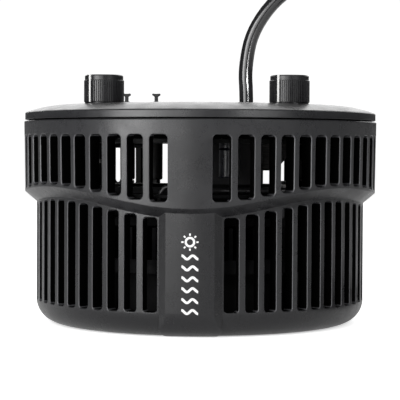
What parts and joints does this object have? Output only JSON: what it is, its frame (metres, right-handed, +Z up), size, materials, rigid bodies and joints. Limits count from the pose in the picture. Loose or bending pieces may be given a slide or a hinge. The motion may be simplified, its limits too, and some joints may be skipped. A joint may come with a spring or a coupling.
{
  "type": "aquarium led light",
  "caption": "Round fan-cooled LED aquarium light with slotted two-tier housing, two control knobs, rubber-plugged link ports and a coiled supply cord.",
  "frame": {"origin": "centre of the housing's bottom face, on the surface that the light stands on", "axes": "+Z up through the cover, -Y towards the front rib, +X to the right seen from the front"},
  "size_m": [0.2683, 0.1534, 0.1581],
  "materials": {
    "housing": "fine-grained moulded plastic, satin",
    "cover": "fine-grained moulded plastic, satin",
    "screw_steel": "black oxide",
    "insert_brass": "machined",
    "knob": "satin",
    "pointer": "satin white",
    "shaft_steel": "turned",
    "pot_metal": "plated",
    "nut_steel": "plated",
    "jack_plastic": "moulded",
    "plug_rubber": "matte",
    "board": "black solder resist",
    "ferrite": "dark enamelled winding",
    "module": "potted, finned underside",
    "capacitor": "sleeved",
    "chip": "moulded",
    "terminal": "moulded",
    "fan_plastic": "moulded",
    "bearing_brass": "sintered",
    "stator": "laminated and wound",
    "sink_aluminium": "black anodised",
    "pad": "silicone",
    "led_board": "white solder resist",
    "emitter": "phosphor",
    "reflector": "metallised",
    "gasket": "matte",
    "lens": "clear",
    "bezel": "satin",
    "lead": "insulated wire",
    "gland": "matte",
    "cord": "smooth satin jacket",
    "tie": "hook-and-loop strap",
    "connector": "moulded",
    "lock_ring": "knurled"
  },
  "bodies": {
    "root": {"vented_housing": "housing", "top_cover": "cover", "cover_screws": "screw_steel", "mount_insert": "insert_brass", "intensity_pot": "pot_metal", "color_pot": "pot_metal", "pot_nuts": "nut_steel", "link_jacks": "jack_plastic", "control_board": "board", "board_screws": "screw_steel", "power_inductor": "ferrite", "driver_module": "module", "filter_capacitors": "capacitor", "board_chips": "chip", "supply_terminal": "terminal", "fan_frame": "fan_plastic", "fan_bearing": "bearing_brass", "fan_stator": "stator", "fan_screws": "screw_steel", "air_baffle": "fan_plastic", "heat_sink": "sink_aluminium", "sink_screws": "screw_steel", "thermal_pad": "pad", "led_board": "led_board", "led_screws": "screw_steel", "led_emitter": "emitter", "light_shroud": "fan_plastic", "reflector": "reflector", "lens_gasket": "gasket", "lens": "lens", "bottom_bezel": "bezel", "bezel_screws": "screw_steel", "led_leads": "lead", "fan_lead": "lead", "cord_gland": "gland", "gland_nut": "gland", "supply_leads": "lead", "power_cord": "cord", "cord_coil": "cord", "cord_tail": "cord", "cord_tie": "tie", "connector_boot": "gland", "cord_connector": "connector"},
    "intensity_dial": {"intensity_knob": "knob", "intensity_pointer": "pointer", "intensity_shaft": "shaft_steel"},
    "color_dial": {"color_knob": "knob", "color_pointer": "pointer", "color_shaft": "shaft_steel"},
    "fan_spinner": {"fan_rotor": "fan_plastic", "fan_shaft": "shaft_steel"},
    "left_port_plug": {"port_plug_left": "plug_rubber"},
    "right_port_plug": {"port_plug_right": "plug_rubber"},
    "lock_collar": {"connector_lock_ring": "lock_ring"}
  },
  "joints": [
    {"name": "intensity_turn", "type": "hinge", "parent": "root", "child": "intensity_dial", "pos_m": [-0.039, -0.03, 0.1], "axis": [0, 0, 1], "range_deg": [-291.5, 8.5]},
    {"name": "color_turn", "type": "hinge", "parent": "root", "child": "color_dial", "pos_m": [0.0388, -0.03, 0.1], "axis": [0, 0, 1], "range_deg": [-296, 4]},
    {"name": "fan_spin", "type": "hinge", "parent": "root", "child": "fan_spinner", "pos_m": [0, 0, 0.05], "axis": [0, 0, 1], "continuous": true},
    {"name": "left_port_pull", "type": "slide", "parent": "root", "child": "left_port_plug", "axis": [0, 0, 1], "range_m": [0, 0.012]},
    {"name": "right_port_pull", "type": "slide", "parent": "root", "child": "right_port_plug", "axis": [0, 0, 1], "range_m": [0, 0.012]},
    {"name": "lock_ring_spin", "type": "hinge", "parent": "root", "child": "lock_collar", "pos_m": [0.11127, 0.04016, 0.0066], "axis": [-0.9294, 0.369, 0], "continuous": true}
  ]
}
